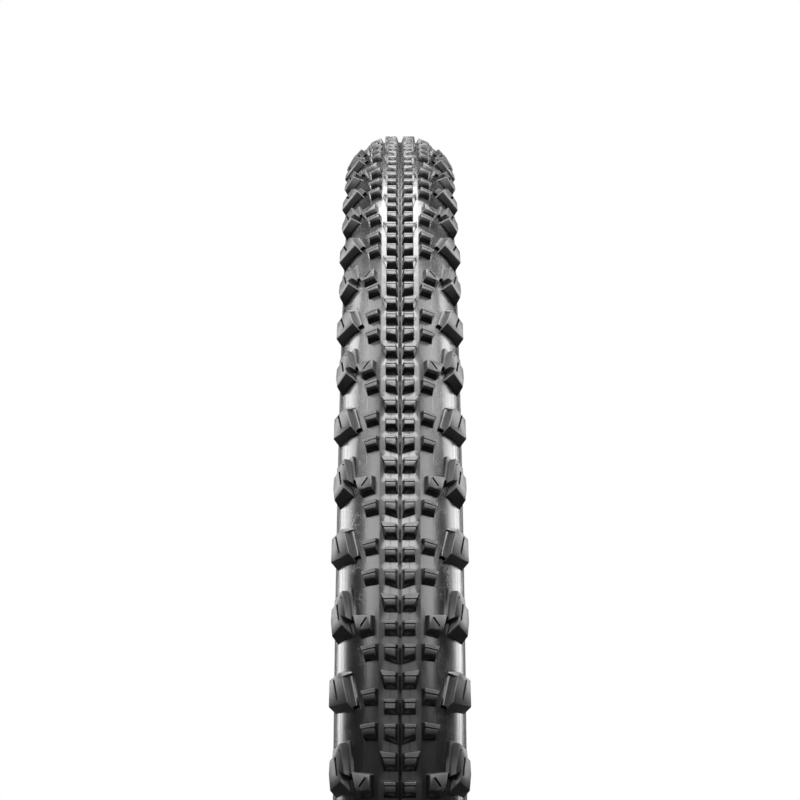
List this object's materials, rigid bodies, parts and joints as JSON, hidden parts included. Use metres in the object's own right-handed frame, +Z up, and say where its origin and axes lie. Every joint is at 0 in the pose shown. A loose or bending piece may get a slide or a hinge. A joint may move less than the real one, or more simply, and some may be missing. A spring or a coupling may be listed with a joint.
{
  "type": "bicycle tire",
  "caption": "Gravel bicycle tire, 40-622, with paired ramped centre knobs, tall siped shoulder lugs and folding beads, shown without its rim.",
  "frame": {"origin": "centre of the wheel that the tire fits, midway between its two sidewalls", "axes": "+Y along the wheel's axle, which is the tire's axis of symmetry; +Z up; +X forward in the wheel's plane"},
  "size_m": [0.702, 0.043, 0.702],
  "materials": {
    "tread_rubber": "satin black moulded rubber",
    "sidewall_rubber": "satin black thin rubber over cloth",
    "breaker_cloth": "dense woven aramid and nylon cloth, rubberised",
    "casing_nylon": "rubberised nylon cord cloth",
    "liner_butyl": "smooth airtight butyl",
    "bead_aramid": "twisted aramid bundle",
    "bead_rubber": "hard black rubber",
    "chafer_cloth": "rubbed-in black monofilament cloth"
  },
  "bodies": {
    "root": {"tread_center": "tread_rubber", "tread_shoulder_left": "tread_rubber", "tread_shoulder_right": "tread_rubber", "sidewall_left": "sidewall_rubber", "sidewall_right": "sidewall_rubber", "puncture_breaker": "breaker_cloth", "outer_casing_ply": "casing_nylon", "inner_casing_ply": "casing_nylon", "inner_liner": "liner_butyl", "bead_core_left": "bead_aramid", "bead_core_right": "bead_aramid", "bead_filler_left": "bead_rubber", "bead_filler_right": "bead_rubber", "rim_strip_left": "chafer_cloth", "rim_strip_right": "chafer_cloth"}
  },
  "joints": []
}
